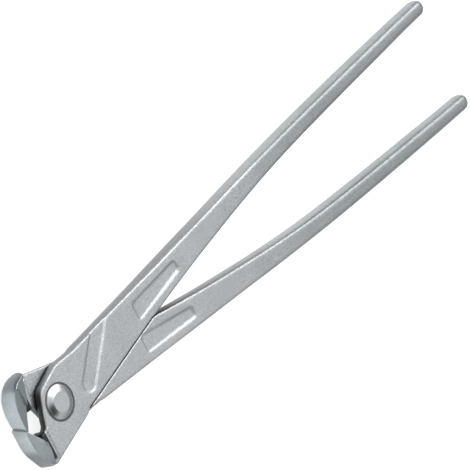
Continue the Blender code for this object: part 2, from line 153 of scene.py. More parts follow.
# Sides and handle
SIDE_BULGE = 0.8 * MM
PLAIN_SIDE_DRAFT = 0.8 * MM
DRAFT_REACH = 70.0 * MM
SIDE_POWER = 2.4
GRIP_POWER = 3.0
HANDLE_START_HALF = 5.9 * MM
TIP_HALF_WIDTH = 2.9 * MM
GRIP_THICKNESS = 7.0 * MM
TIP_THICKNESS = 6.2 * MM
TIP_LENGTH = 3.6 * MM
TIP_FLAT = 0.2 * MM
# Shares of the reach, of the tip's offset, of the half width and of the thickness
HANDLE_SHARES = (
    (0.267, 0.385, 1.000, 0.20),
    (0.331, 0.480, 0.760, 0.36),
    (0.400, 0.573, 0.540, 0.52),
    (0.477, 0.674, 0.360, 0.70),
    (0.555, 0.759, 0.215, 0.88),
    (0.632, 0.822, 0.155, 1.00),
    (0.710, 0.871, 0.120, 1.00),
    (0.788, 0.914, 0.090, 0.92),
    (0.866, 0.951, 0.065, 0.78),
    (0.940, 0.986, 0.020, 0.55),
)
TIP_SHARES = (1.0, 1.0, 0.0, 0.5)

# Recessed panels, left bare
SLOT_HALF_WIDTH = 2.95 * MM
SLOT_START = (14.2 * MM, -2.1 * MM)
SLOT_ANGLE = radians(42.3)
LAP_PANEL_REACH = (45.0 * MM, 70.0 * MM)
PLAIN_PANEL_REACH = (42.0 * MM, 67.6 * MM)
PANEL_BIG_HALF = 3.3 * MM
PANEL_SMALL_HALF = 2.0 * MM
PANEL_ROUND = 1.3 * MM

# Rivet
SHANK_RADIUS = 3.4 * MM
HEAD_RADIUS = 6.0 * MM
HEAD_HEIGHT = 0.85 * MM
HEAD_FLAT_RADIUS = 3.3 * MM
HEAD_SLOPES = (radians(13), radians(26))
HEAD_EDGE = 0.1 * MM
HEAD_SINK = 0.3 * MM
HEAD_CREASE = radians(9)  # a sharper turn of the surface is shaded as an edge
SHANK_GAP = 0.1 * MM

OVERRUN = 6.0 * MM  # how far cuts reach past what they cut
STEPS = 10  # facets in a quarter round
JAW_STEPS = 18
EDGE_EVERY = 3  # the jaw's rounded edge takes every third turn of its crown
BETWEEN = 6  # rings from one station of the handle to the next
RIVET_SIDES = 96
SAME_POINT = 0.001 * MM  # the turned rivet's points that lie closer than this are joined
SOFT_SHARE = 0.5


class PliersShape(PropertyGroup):
    panel_depth: FloatProperty(
        name="Panel depth",
        description="Depth of the bare recessed panels",
        default=0.27 * MM,
        min=0,
        unit="LENGTH",
    )
    skin: FloatProperty(
        name="Skin size",
        description="Size of the small faces that the forged surface is made of",
        default=0.3 * MM,
        min=0.2 * MM,
        unit="LENGTH",
    )
    jaw_skin: FloatProperty(
        name="Jaw skin size",
        description="Size of the small faces that the ground jaws are made of",
        default=0.13 * MM,
        min=0.1 * MM,
        unit="LENGTH",
    )
    softening: IntProperty(
        name="Edge softening",
        description="How often the surfaces are smoothed",
        default=3,
        min=0,
    )


class PliersFinish(PropertyGroup):
    zinc: FloatVectorProperty(
        name="Zinc colour",
        description="Colour of the zinc-plated forging",
        default=(0.515, 0.538, 0.555),
        subtype="COLOR",
    )
    ground: FloatVectorProperty(
        name="Ground colour",
        description="Colour of the ground jaws under the plating",
        default=(0.385, 0.43, 0.45),
        subtype="COLOR",
    )
    rivet: FloatVectorProperty(
        name="Rivet colour",
        description="Colour of the turned rivet",
        default=(0.52, 0.55, 0.565),
        subtype="COLOR",
    )
    roughness: FloatProperty(
        name="Zinc roughness",
        description="Roughness of the plated forging, with the jaws a little smoother",
        default=0.40,
        min=0,
        max=1,
        subtype="FACTOR",
    )


class PliersStage(PropertyGroup):
    floor: FloatVectorProperty(
        name="Floor colour",
        description="Colour of the pale floor",
        default=(0.65, 0.65, 0.65),
        subtype="COLOR",
    )
    key: FloatProperty(
        name="Key radiance",
        description="Brightness of the soft light above the handles",
        default=2.7,
        min=0,
    )
    dome: FloatProperty(
        name="Dome radiance",
        description="Brightness of the white tent over the pliers",
        default=0.98,
        min=0,
    )
    horizon: FloatProperty(
        name="Horizon radiance",
        description="Brightness of the tent's lower edge",
        default=0.38,
        min=0,
    )


# Mesh helpers


def object_from(bm, name):
    """A new object in the scene from a finished mesh, with its faces turned outwards."""
    mesh = bpy.data.meshes.new(name)
    bmesh.ops.recalc_face_normals(bm, faces=bm.faces)
    bm.to_mesh(mesh)
    bm.free()
    obj = bpy.data.objects.new(name, mesh)
    bpy.context.scene.collection.objects.link(obj)
    return obj


def apply_modifiers(obj):
    """Keeps what an object's modifiers make of it as its mesh."""
    graph = bpy.context.evaluated_depsgraph_get()
    mesh = bpy.data.meshes.new_from_object(obj.evaluated_get(graph))
    obj.modifiers.clear()
    obj.data = mesh


def carve(obj, bm):
    """Takes a block away from an object."""
    block = object_from(bm, "block")
    modifier = obj.modifiers.new("cut", "BOOLEAN")
    modifier.operation = "DIFFERENCE"
    modifier.solver = "EXACT"
    modifier.object = block
    apply_modifiers(obj)
    bpy.data.objects.remove(block, do_unlink=True)


def arc(centre, radius, start, end, steps):
    """Points on a circle from one angle to another."""
    turns = [start + (end - start) * i / steps for i in range(steps + 1)]
    return [Vector((centre[0] + radius * cos(a), centre[1] + radius * sin(a))) for a in turns]


def inset_corners(corners, inset):
    """An anticlockwise list of (x, y, radius) corners, with every side moved inwards."""
    moved = []
    for i, (x, y, radius) in enumerate(corners):
        here = Vector((x, y))
        arriving = (here - Vector(corners[i - 1][:2])).normalized()
        leaving = (Vector(corners[(i + 1) % len(corners)][:2]) - here).normalized()
        bend = arriving.cross(leaving)
        inwards = (leaving - arriving) * inset / bend
        if radius:
            radius += -inset if bend > 0 else inset
        moved.append((x + inwards.x, y + inwards.y, radius))
    return moved


def rounded(corners, inset=0):
    """The outline through (x, y, radius) corners, with each corner turned into an arc."""
    outline = []
    corners = inset_corners(corners, inset)
    for i, (x, y, radius) in enumerate(corners):
        here = Vector((x, y))
        back = (Vector(corners[i - 1][:2]) - here).normalized()
        ahead = (Vector(corners[(i + 1) % len(corners)][:2]) - here).normalized()
        if not radius:
            outline.append(here)
            continue
        half = back.angle(ahead) / 2
        centre = here + (back + ahead).normalized() * radius / sin(half)
        first = here + back * radius / tan(half) - centre
        last = here + ahead * radius / tan(half) - centre
        start = atan2(first.y, first.x)
        swing = (atan2(last.y, last.x) - start + pi) % (2 * pi) - pi
        outline += arc(centre, radius, start, start + swing, STEPS)
    return outline


def add_loop(bm, points):
    """A closed ring of edges through points."""
    verts = [bm.verts.new(p) for p in points]
    return [bm.edges.new((verts[i - 1], verts[i])) for i in range(len(verts))]


def loft(bm, loops, opening=None):
    """A skin through loops of points, closed over its ends. It may start from an open end."""
    ends = [] if opening else [add_loop(bm, loops[0])]
    last = opening or ends[0]
    for points in loops[len(ends):]:
        loop = add_loop(bm, points)
        bmesh.ops.bridge_loops(bm, edges=last + loop)
        last = loop
    for end in (*ends, last):
        bmesh.ops.contextual_create(bm, geom=end)


def flat(outline, height):
    """An outline as points in space, all at one height."""
    return [(p[0], p[1], height) for p in outline]


def prism(outline, low, high):
    """A block with an outline, from one height to another."""
    bm = bmesh.new()
    loft(bm, [flat(outline, low), flat(outline, high)])
    return bm


def slice_off(bm, point, outwards, close=True):
    """Takes away what lies outside a plane."""
    whole = bm.verts[:] + bm.edges[:] + bm.faces[:]
    bmesh.ops.bisect_plane(bm, geom=whole, plane_co=point, plane_no=outwards, clear_outer=True)
    if close:
        bmesh.ops.contextual_create(bm, geom=[e for e in bm.edges if e.is_boundary])


# Arms


def side_curve(power):
    """Shares of the bulge and of the half thickness, from the middle of a side to its face."""
    turns = [i / STEPS * pi / 2 for i in range(STEPS)]
    curve = [(cos(turn) ** (2 / power), sin(turn) ** (2 / power)) for turn in turns]
    return [*curve, (0, 1)]


def section(x, middle, half_width, half_thickness, bulge, power):
    """A loop of points round the handle."""
    curve = side_curve(power)
    upper = [(half_width - bulge + bulge * out, up * half_thickness) for out, up in curve]
    side = [(y, z) for y, z in reversed(upper)] + [(y, -z) for y, z in upper[1:]]
    loop = [(x, middle + y, z) for y, z in side]
    return loop + [(x, middle - y, -z) for y, z in side]


def between(a, b, c, d, share):
    """A smooth curve's value between b and c, with a before and d after them."""
    rise, fall = (c - a) / 2, (d - b) / 2
    cube = 2 * (b - c) + rise + fall
    square = 3 * (c - b) - 2 * rise - fall
    return ((cube * share + square) * share + rise) * share + b


def stations():
    """The handle's stations with smooth ones between them, each with its share of the way."""
    table = [*HANDLE_SHARES]
    before = tuple(2 * a - b for a, b in zip(table[0], table[1]))
    padded = [before, *table, TIP_SHARES]
    for i in range(1, len(table)):
        for k in range(BETWEEN):
            share = k / BETWEEN
            yield (i - 1 + share) / (len(table) - 1), [
                between(*(padded[i + j][n] for j in (-1, 0, 1, 2)), share) for n in range(4)
            ]
    yield 1, table[-1]


def handle_loops():
    """Loops of points from the handle's first station to its rounded tip."""
    loops = []
    count = len(HANDLE_SHARES)
    for way, (reach, offset, width, thickness) in stations():
        share = (1 + way * (count - 1)) / count
        half = TIP_HALF_WIDTH + width * (HANDLE_START_HALF - TIP_HALF_WIDTH)
        depth = HALF_THICKNESS + thickness * (GRIP_THICKNESS / 2 - HALF_THICKNESS)
        bulge = SIDE_BULGE + share * (TIP_HALF_WIDTH - TIP_FLAT - SIDE_BULGE)
        power = SIDE_POWER + min(1, 2 * share) * (GRIP_POWER - SIDE_POWER)
        loops.append(section(reach * HANDLE_REACH, offset * TIP_OFFSET, half, depth, bulge, power))
    shoulder = HANDLE_REACH - TIP_LENGTH
    for i in range(STEPS + 1):
        turn = i / (STEPS + 1) * pi / 2
        ahead = sin(turn) / sin(STEPS / (STEPS + 1) * pi / 2)
        half = TIP_HALF_WIDTH * cos(turn)
        depth = TIP_THICKNESS / 2 * cos(turn)
        bulge = (TIP_HALF_WIDTH - TIP_FLAT) * cos(turn)
        power = GRIP_POWER + (2 - GRIP_POWER) * sin(turn)
        loops.append(section(shoulder + TIP_LENGTH * ahead, TIP_OFFSET, half, depth, bulge, power))
    return loops


def station_height(side):
    """Height of the first station's outer or inner side."""
    return HANDLE_SHARES[0][1] * TIP_OFFSET + side * HANDLE_START_HALF


def plate_corners(draft, wall):
    """Plan of the head and shank, anticlockwise.

    An arm whose throat wall lies further back has its corner tucked in behind the jaw.
    """
    end = CROTCH_REACH + OVERRUN
    first = HANDLE_SHARES[0][0] * HANDLE_REACH
    rise = (station_height(1) - WAIST_HALF_WIDTH) / (first - WAIST_REACH)
    inner_rise = (station_height(-1) + CROTCH_DIP) / (first - CROTCH_REACH)
    inside_jaw = JAW_BACK + SIDE_BULGE
    faded = draft * (DRAFT_REACH - end) / (DRAFT_REACH - WAIST_REACH)
    plain_corner = [(-JAW_BACK + SIDE_BULGE / 4, -HEAD_HALF_WIDTH, CORNER_ROUND / 2)]
    return [
        (end, OVERRUN * inner_rise - CROTCH_DIP, 0),
        (end, WAIST_HALF_WIDTH + (end - WAIST_REACH) * rise - faded, 0),
        (WAIST_REACH, WAIST_HALF_WIDTH - draft, WAIST_ROUND),
        (BROW_REACH, BROW_HALF_WIDTH - draft, WAIST_ROUND),
        (-CHEEK_REACH, CHEEK_HEIGHT, CHEEK_ROUND),
        (-WALL_REACH + wall, WALL_BEND, 2 * CHEEK_ROUND),
        (-FLOOR_REACH + wall, FLOOR_RISE - THROAT_HALF, THROAT_ROUND),
        (-FLOOR_END, FLOOR_RISE - THROAT_HALF, 0),
        (-inside_jaw, -THROAT_HALF - SIDE_BULGE / 2, 0),
        (-inside_jaw, -HEAD_HALF_WIDTH + 2 * CORNER_ROUND, 0),
        *(TUCKED_CORNER if wall else plain_corner),
        (NOTCH.x, -NOTCH_HALF_WIDTH, 0),
        (NOTCH.x + SIDE_BULGE, -NOTCH_HALF_WIDTH - 2 * SIDE_BULGE, 0),
        (CROTCH_REACH, -CROTCH_DIP, 0),
    ]


def arm_body(wall):
    """Head, shank and handle as one skin, before the lap and the panels are cut."""
    upper = [(SIDE_BULGE * (1 - out), up) for out, up in side_curve(SIDE_POWER)]
    levels = []
    for inset, up in reversed(upper):
        corners = plate_corners(PLAIN_SIDE_DRAFT * up, wall)
        levels.append(flat(rounded(corners, inset), -up * HALF_THICKNESS))
    for inset, up in upper[1:]:
        levels.append(flat(rounded(plate_corners(0, wall), inset), up * HALF_THICKNESS))
    bm = bmesh.new()
    loft(bm, levels)
    slice_off(bm, (CROTCH_REACH + SIDE_BULGE, 0, 0), (1, 0, 0), close=False)
    loft(bm, handle_loops(), [e for e in bm.edges if e.is_boundary])
    return bm


def jaw_outline(shape, middle_round, drawn, inset):
    """One outline of the jaw, drawn in by a share of its side's shape and then inset."""
    face = JAW_REACH - drawn * shape.relief
    corner = JAW_CORNER_REACH - drawn * shape.relief / 2 + drawn * shape.slide
    half_width = HEAD_HALF_WIDTH - drawn * shape.drop
    corner_round = middle_round + sqrt(drawn) * (shape.corner_round - middle_round)
    corners = [
        (-JAW_BACK + OVERRUN, OVERRUN, 0),
        (-face, OVERRUN, 0),
        (-face, -JAW_FLAT, JAW_ROUND),
        (-corner, -half_width, corner_round),
        (-JAW_BACK + OVERRUN, -half_width, 0),
    ]
    return rounded(corners, inset)


def jaw_outlines(side, middle_round, shape):
    """Outlines from the jaw's middle to one side: a crown, then a rounded or chamfered edge."""
    half = JAW_WIDTH / 2
    chamfered = shape.edge_round > WIDEST_ROUND
    rise = shape.edge_round * CHAMFER_SLOPE if chamfered else shape.edge_round
    turns = [i / JAW_STEPS * pi / 2 for i in range(JAW_STEPS + 1)]
    outlines = []
    for turn in turns:
        outline = jaw_outline(shape, middle_round, 1 - cos(turn), 0)
        outlines.append((outline, side * (half - rise) * sin(turn)))
    for turn in turns[-1:] if chamfered else turns[EDGE_EVERY::EDGE_EVERY]:
        outline = jaw_outline(shape, middle_round, 1, shape.edge_round * (1 - cos(turn)))
        outlines.append((outline, side * (half - rise * (1 - sin(turn)))))
    return outlines


def jaw_block(middle_round, sides):
    """The jaw's ground block: crowned along its width, then sliced to its cutting edge."""
    plain = jaw_outlines(-1, middle_round, sides[0])
    lap = jaw_outlines(1, middle_round, sides[1])
    levels = [flat(outline, z) for outline, z in [*reversed(plain), *lap[1:]]]
    bm = bmesh.new()
    loft(bm, levels)
    edge = (-JAW_REACH + EDGE_SETBACK, -EDGE_GAP / 2, 0)
    throat = Vector((THROAT_HALF, JAW_DEPTH - EDGE_SETBACK))
    bevel = Vector((-EDGE_BEVEL, EDGE_SETBACK))
    for slope in (throat, bevel):
        slice_off(bm, edge, (slope.x, slope.y, slope.y * EDGE_SLANT))
    slice_off(bm, (-JAW_REACH, 0, -JAW_WIDTH / 2), (PLAIN_SIDE_FALL / JAW_DEPTH, 0, -1))
    return bm


def back_cut(crowned):
    """What lies behind the jaw's tilted back. A crowned end runs on to the lap's step."""
    side, far = THROAT_HALF + OVERRUN, HEAD_HALF_WIDTH + OVERRUN
    start = end = -JAW_BACK
    if crowned:
        start, end = (-STEP_REACH + STEP_SLOPE * (y - THROAT_HALF) for y in (CROWN_END, far))
    outline = [
        Vector((OVERRUN, side)),
        Vector((-JAW_REACH - OVERRUN, side)),
        Vector((-JAW_REACH - OVERRUN, -CROWN_END)),
        Vector((start, -CROWN_END)),
        Vector((end, -far)),
        Vector((OVERRUN, -far)),
    ]
    bm = prism(outline, -JAW_WIDTH, JAW_WIDTH)
    slice_off(bm, (-JAW_BACK, 0, JAW_WIDTH / 2), (-1, 0, -PLAIN_SIDE_DEPTH / JAW_WIDTH))
    return bm


def facet_cut():
    """The ground facet inside the upper jaw's rim, which stops short of the jaw's end."""
    outline = rounded([
        (-JAW_REACH - OVERRUN, OVERRUN, 0),
        (-JAW_REACH - OVERRUN, -FACET_END, 0),
        (-FACET_BACK, -FACET_END, 2 * FACET_ROUND),
        (-FACET_BACK, OVERRUN, 0),
    ])
    bm = prism(outline, -JAW_WIDTH / 2 - OVERRUN, 0)
    slice_off(bm, FACET_POINT, [-part for part in FACET_TILT])
    return bm


def shoulder_line(side):
    """Both ends of the closing shoulder, moved off its line by half the stop gap."""
    start, end = Vector((NOTCH.x, side * NOTCH.y)), Vector((CROTCH_REACH, 0))
    along = (end - start).normalized()
    shift = Vector((-along.y, along.x)) * STOP_GAP / 2
    return start + shift, end + shift


def shoulder_cut():
    """What lies on the other arm's side of the shoulder."""
    start, end = shoulder_line(1)
    far = HEAD_HALF_WIDTH + OVERRUN
    swing = sqrt(start.length_squared - RELIEF_REACH**2)
    outline = [
        Vector((RELIEF_REACH, -swing)),
        start,
        end,
        Vector((CROTCH_REACH + OVERRUN * 2, STOP_GAP / 2)),
        Vector((CROTCH_REACH + OVERRUN * 2, -far)),
        Vector((RELIEF_REACH, -far)),
    ]
    return prism(outline, -HALF_THICKNESS - OVERRUN, HALF_THICKNESS + OVERRUN)


def lap_cut():
    """The recess that takes the other arm's lap, from the jaw's root to the shoulder."""
    start, end = shoulder_line(-1)
    far = HEAD_HALF_WIDTH + OVERRUN
    step_top = Vector((-STEP_REACH - STEP_SLOPE * OVERRUN / 2, -THROAT_HALF + OVERRUN / 2))
    outline = [
        step_top,
        Vector((-STEP_REACH + STEP_SLOPE * (far - THROAT_HALF), -far)),
        Vector((CROTCH_REACH + OVERRUN, -far)),
        Vector((CROTCH_REACH + OVERRUN, STOP_GAP / 2)),
        end,
        start,
        Vector(HEEL),
        Vector(HEEL_END),
        Vector((HEEL_END[0], far)),
        Vector((step_top.x, far)),
    ]
    return prism(outline, -HALF_THICKNESS - OVERRUN, LAP_GAP / 2)


def root_cut(side):
    """A wedge that lets the face fall away towards the jaw."""
    start = Vector((-ROOT_REACH, HALF_THICKNESS))
    step, fall = ROOT_FALLS[side]
    foot = [start - Vector((step / 2, step))] if step else []
    far = JAW_REACH + OVERRUN - ROOT_REACH
    low = start - Vector((far, step + far * fall / (JAW_BACK - ROOT_REACH)))
    outline = [start, *foot, low, low + Vector((0, 2 * OVERRUN)), start + Vector((0, OVERRUN))]
    bm = prism(outline, -HEAD_HALF_WIDTH - OVERRUN, 0)
    turn = Matrix(((1, 0, 0), (0, 0, 1), (0, side, 0)))
    bmesh.ops.transform(bm, matrix=turn.to_4x4(), verts=bm.verts)
    return bm


def bore_cut():
    """A round bar on the rivet's axis, from the arm's lower face to above it."""
    bm = bmesh.new()
    height = JOINT_THICKNESS + OVERRUN
    bmesh.ops.create_cone(
        bm,
        cap_ends=True,
        segments=RIVET_SIDES,
        radius1=SHANK_RADIUS,
        radius2=SHANK_RADIUS,
        depth=height,
        matrix=Matrix.Translation((0, 0, height / 2 - HALF_THICKNESS)),
    )
    return bm


def slot_cut(depth):
    """The slanted slot beside the rivet: round at its foot, open at the arm's edge."""
    along = Vector((cos(SLOT_ANGLE), sin(SLOT_ANGLE)))
    across = Vector((-along.y, along.x)) * SLOT_HALF_WIDTH
    far = Vector(SLOT_START) + along * 2 * HEAD_HALF_WIDTH
    first = SLOT_ANGLE + pi / 2
    foot = arc(SLOT_START, SLOT_HALF_WIDTH, first, first + pi, 2 * STEPS)
    outline = [*foot, far - across, far + across]
    return prism(outline, HALF_THICKNESS - depth, HALF_THICKNESS + OVERRUN)


def handle_middle(x):
    """Height of the handle's centre line near the crotch."""
    (near, low), (far, high) = (HANDLE_SHARES[0][:2], HANDLE_SHARES[1][:2])
    slope = (high - low) * TIP_OFFSET / ((far - near) * HANDLE_REACH)
    return low * TIP_OFFSET + slope * (x - near * HANDLE_REACH)


def panel_cut(reach, side, depth):
    """A long rounded panel on the shank, narrower towards the tip."""
    start, end = reach
    corners = [
        (start, handle_middle(start) - PANEL_BIG_HALF, PANEL_ROUND),
        (end, handle_middle(end) - PANEL_SMALL_HALF, PANEL_ROUND),
        (end, handle_middle(end) + PANEL_SMALL_HALF, PANEL_ROUND),
        (start, handle_middle(start) + PANEL_BIG_HALF, PANEL_ROUND),
    ]
    floor = HALF_THICKNESS - depth
    low, high = (floor, floor + OVERRUN) if side > 0 else (-floor - OVERRUN, -floor)
    return prism(rounded(corners), low, high)


def soften(obj, size, rounds):
    """Gives a piece an even skin of small faces and smooths its edges."""
    skin = obj.modifiers.new("skin", "REMESH")
    skin.mode = "VOXEL"
    skin.voxel_size = size
    soft = obj.modifiers.new("soft", "SMOOTH")
    soft.factor = SOFT_SHARE
    soft.iterations = rounds
    apply_modifiers(obj)


def settle(obj, turn):
    """Puts an arm's piece in its place and notes how its faces stand on edge and face along Y."""
    mesh = obj.data
    mesh.transform(Matrix.Translation(AXIS) @ Matrix.Rotation(turn, 4, "X"))
    mesh.shade_smooth()
    notes = {
        "upright": [1 - abs(v.normal.z) for v in mesh.vertices],
        "end_face": [v.normal.y for v in mesh.vertices],
    }
    for name, values in notes.items():
        mesh.attributes.new(name, "FLOAT", "POINT").data.foreach_set("value", values)


def forge_arm(name, wall, turn, shape):
    """One arm in its place: forged body, cut lap and bore, soft edges."""
    obj = object_from(arm_body(wall), name)
    cuts = [
        root_cut(1),
        root_cut(-1),
        shoulder_cut(),
        lap_cut(),
        bore_cut(),
        slot_cut(shape.panel_depth),
        panel_cut(LAP_PANEL_REACH, 1, shape.panel_depth),
        panel_cut(PLAIN_PANEL_REACH, -1, shape.panel_depth),
    ]
    for bm in cuts:
        carve(obj, bm)
    soften(obj, shape.skin, shape.softening)
    settle(obj, turn)
    return obj


def grind_jaw(name, middle_round, sides, faceted, turn, shape):
    """One jaw in its place: a ground block whose edges are only just broken."""
    obj = object_from(jaw_block(middle_round, sides), name)
    carve(obj, back_cut(faceted))
    if faceted:
        carve(obj, facet_cut())
    soften(obj, shape.jaw_skin, shape.softening)
    settle(obj, turn)
    return obj


def rivet_profile():
    """Radius and height along the rivet's outline, from the middle of one flat to the other's."""
    seat = HALF_THICKNESS - HEAD_SINK
    top = HALF_THICKNESS + HEAD_HEIGHT
    near, far = HEAD_SLOPES
    radius = (HEAD_RADIUS - HEAD_EDGE - HEAD_FLAT_RADIUS) / (sin(far) - sin(near))
    slopes = [near + (far - near) * i / STEPS for i in range(STEPS + 1)]
    profile = [(0, top)]
    profile += [
        (HEAD_FLAT_RADIUS + radius * (sin(a) - sin(near)), top - radius * (cos(near) - cos(a)))
        for a in slopes
    ]
    profile += [
        (HEAD_RADIUS, profile[-1][1] - HEAD_EDGE),
        (HEAD_RADIUS, seat),
        (SHANK_RADIUS - SHANK_GAP, seat),
    ]
    return profile + [(r, -z) for r, z in reversed(profile)]


def turn_rivet(name):
    """The rivet in its place, with a flat-topped dome on both ends."""
    bm = bmesh.new()
    verts = [bm.verts.new((r, 0, z)) for r, z in rivet_profile()]
    edges = [bm.edges.new(pair) for pair in zip(verts, verts[1:])]
    bmesh.ops.spin(
        bm,
        geom=verts + edges,
        cent=(0, 0, 0),
        axis=(0, 0, 1),
        angle=2 * pi,
        steps=RIVET_SIDES,
        use_merge=True,
    )
    bmesh.ops.remove_doubles(bm, verts=bm.verts, dist=SAME_POINT)
    bmesh.ops.translate(bm, vec=AXIS, verts=bm.verts)
    obj = object_from(bm, name)
    obj.data.shade_smooth()
    obj.data.set_sharp_from_angle(angle=HEAD_CREASE)
    return obj


# Materials

# Noises: scale, detail and roughness
FORGED_CLOUD = (90.0, 3.0, 0.55)
ORANGE_PEEL = (1500.0, 3.0, 0.6)
GRIT = (3800.0, 2.0, 0.5)
GROUND_CLOUD = (260.0, 3.0, 0.55)
GRINDING_GRAIN = (2600.0, 3.0, 0.6)
RIVET_CLOUD = (300.0, 3.0, 0.55)
TURNING_RINGS = (3500.0, 2.0, 0.5)
FLOOR_CLOUD = (2.0, 4.0, 0.55)

# The levels of a noise between which a tone changes
CLOUD_LEVELS = (0.35, 0.65)
GRIT_LEVELS = (0.3, 0.6)
GRAIN_LEVELS = (0.3, 0.7)

# Bumps: distance and strength
PEEL_BUMP = (0.1 * MM, 0.85)
GRIT_BUMP = (0.04 * MM, 0.8)
GRAIN_BUMP = (0.02 * MM, 0.45)
RING_BUMP = (0.015 * MM, 0.5)

# Tones: shares of a finish's colour, both ends of a cloud or one darker place
FORGED_TONES = (0.94, 1.04)
GRIT_TONE = 0.62
# painted shade on faces that stand on edge
SIDE_SHADE_TONE = 0.42
GROUND_TONES = (0.92, 1.06)
# painted shade on the jaws' ends and undersides
SHADY_TONE = 0.45
FLAT_TONE = 0.74
RIVET_TONES = (0.92, 1.05)
RING_TONE = 0.86
# painted shade towards the handle tips
TIP_SHADE_TONE = (0.7, 0.72, 0.72)

# Colours of the painted shade and shadows in the joint's gaps and corners, and at the rivet's rim
JOINT_SHADE = (0.11, 0.12, 0.12)
CREASE_SHADOW = (0.05, 0.055, 0.055)
SEAT_SHADOW = (0.1, 0.11, 0.11)
RIM_SHADE = (0.13, 0.14, 0.13)

# Where tones and colours of painted shade and shadow change, measured from the rivet's axis
TIP_SHADE_X = (60 * MM, 170 * MM)
SIDE_SHADE_X = (60 * MM, 150 * MM)
JOINT_SHADE_X = (-6.5 * MM, -4.5 * MM)
CREASE_SHADOW_X = (-11.1 * MM, -10.75 * MM)
CREASE_SHADOW_Y = (-14.4 * MM, -13.2 * MM)
SEAT_SHADOW_RADII = (HEAD_RADIUS + 0.15 * MM, HEAD_RADIUS + 0.5 * MM)
RIM_SHADE_RADII = (HEAD_RADIUS - 0.7 * MM, HEAD_RADIUS - 0.15 * MM)

# How far on edge, or along Y, a face points where a tone or a painted shade changes
SIDE_SHADE_UPRIGHT = (0.2, 0.8)
JOINT_SHADE_UPRIGHT = (0.35, 0.8)
END_ALONG_Y = (0.25, 0.75)
UNDER_ALONG_Y = (-0.4, 0.0)
UNDER_UPRIGHT = (0.4, 0.8)
FLAT_UPRIGHT = (0.03, 0.15)

# Roughness: what is added to the finish's for the plated steels, and the rivet's own
FORGED_ROUGHNESS = (-0.05, 0.07)
GROUND_ROUGHNESS = (-0.09, -0.01)
RIVET_ROUGHNESS = (0.2, 0.28)

# Painted shade in corners: how wide a corner it fills, and its colour
FORGED_CORNER_SHADE = (4.2 * MM, (0.06, 0.065, 0.065))
GROUND_CORNER_SHADE = (1.2 * MM, (0.08, 0.09, 0.09))
RIVET_CORNER_SHADE = (0.8 * MM, (0.06, 0.065, 0.06))
CORNER_SHADE_OPENNESS = (0.3, 0.85)
CORNER_SHADE_SAMPLES = 8

MIX_INPUTS = (0, 6, 7)  # the mix node's factor and its two colours
MIX_OUTPUT = 2


def shader_tree(name):
    """A new material with its nodes and its shader."""
    material = bpy.data.materials.new(name)
    material.use_nodes = True
    tree = material.node_tree
    return material, tree, tree.nodes["Principled BSDF"]


def feed(tree, socket, value):
    """Gives an input a link, a colour or a plain value."""
    if isinstance(value, bpy.types.NodeSocket):
        tree.links.new(value, socket)
    elif socket.type == "RGBA":
        socket.default_value = (*value[:3], 1)
    else:
        socket.default_value = value


def add(tree, kind, **values):
    """A node with its properties and inputs set by name."""
    node = tree.nodes.new(kind)
    for key, value in values.items():
        if hasattr(node, key):
            setattr(node, key, value)
        else:
            feed(tree, node.inputs[key.replace("_", " ")], value)
    return node


def figured(tree, kind, operation, *values):
    """The outputs of a node that works with sockets or plain values, in the order given."""
    node = add(tree, kind, operation=operation)
    for socket, value in zip(node.inputs, values):
        feed(tree, socket, value)
    return node.outputs


def times(tree, first, second):
    """The product of two values."""
    return figured(tree, "ShaderNodeMath", "MULTIPLY", first, second)["Value"]


def noise(tree, source, scale, detail, rough):
    """A cloudy value at a place."""
    values = {"Vector": source, "Scale": scale, "Detail": detail, "Roughness": rough}
    return add(tree, "ShaderNodeTexNoise", **values).outputs["Fac"]


def ramp(tree, source, low, high, to_low=0.0, to_high=1.0):
    """A smooth step between two values, as the source goes from one level to another."""
    ends = {"From_Min": low, "From_Max": high, "To_Min": to_low, "To_Max": to_high}
    node = add(tree, "ShaderNodeMapRange", interpolation_type="SMOOTHSTEP", Value=source, **ends)
    return node.outputs["Result"]


def ramp_from(tree, source, origin, span, *ends):
    """A smooth step over a span that is measured from a place."""
    return ramp(tree, source, origin + span[0], origin + span[1], *ends)


def mixed(tree, factor, first, second, blend="MIX"):
    """A colour between two, each a colour or a socket."""
    node = add(tree, "ShaderNodeMix", data_type="RGBA", blend_type=blend)
    for index, value in zip(MIX_INPUTS, (factor, first, second)):
        feed(tree, node.inputs[index], value)
    return node.outputs[MIX_OUTPUT]


def bump(tree, height, distance, strength, below=None):
    """A surface raised by a height, over another bump where there is one."""
    node = add(tree, "ShaderNodeBump", Height=height, Distance=distance, Strength=strength)
    if below:
        tree.links.new(below, node.inputs["Normal"])
    return node.outputs["Normal"]


def shaded(colour, share):
    """A share of a colour."""
    return tuple(c * share for c in colour)


def clouded(tree, cloud, levels, colour, tones):
    """A colour that drifts between two tones."""
    low, high = (shaded(colour, tone) for tone in tones)
    return mixed(tree, ramp(tree, cloud, *levels), low, high)


def position(tree):
    """The place on the object."""
    return add(tree, "ShaderNodeTexCoord").outputs["Object"]


def noted(tree, name):
    """A value that was noted for each point of the mesh."""
    return add(tree, "ShaderNodeAttribute", attribute_name=name).outputs["Fac"]


def corner_shade(tree, colour, reach, dark):
    """Darkens a colour in narrow corners, as painted shade."""
    corner = add(tree, "ShaderNodeAmbientOcclusion", samples=CORNER_SHADE_SAMPLES, Distance=reach)
    return mixed(tree, ramp(tree, corner.outputs["AO"], *CORNER_SHADE_OPENNESS), dark, colour)


def from_axis(tree, place):
    """Distance from the rivet's axis."""
    centred = figured(tree, "ShaderNodeVectorMath", "SUBTRACT", place, AXIS)["Vector"]
    level = figured(tree, "ShaderNodeVectorMath", "MULTIPLY", centred, (1, 1, 0))["Vector"]
    return figured(tree, "ShaderNodeVectorMath", "LENGTH", level)["Value"]


def make_metal(tree, shader, colour, roughness, normal):
    """Connects a metal's colour, roughness and bumps to its shader."""
    for name, value in (("Base Color", colour), ("Roughness", roughness), ("Normal", normal)):
        tree.links.new(value, shader.inputs[name])
    shader.inputs["Metallic"].default_value = 1


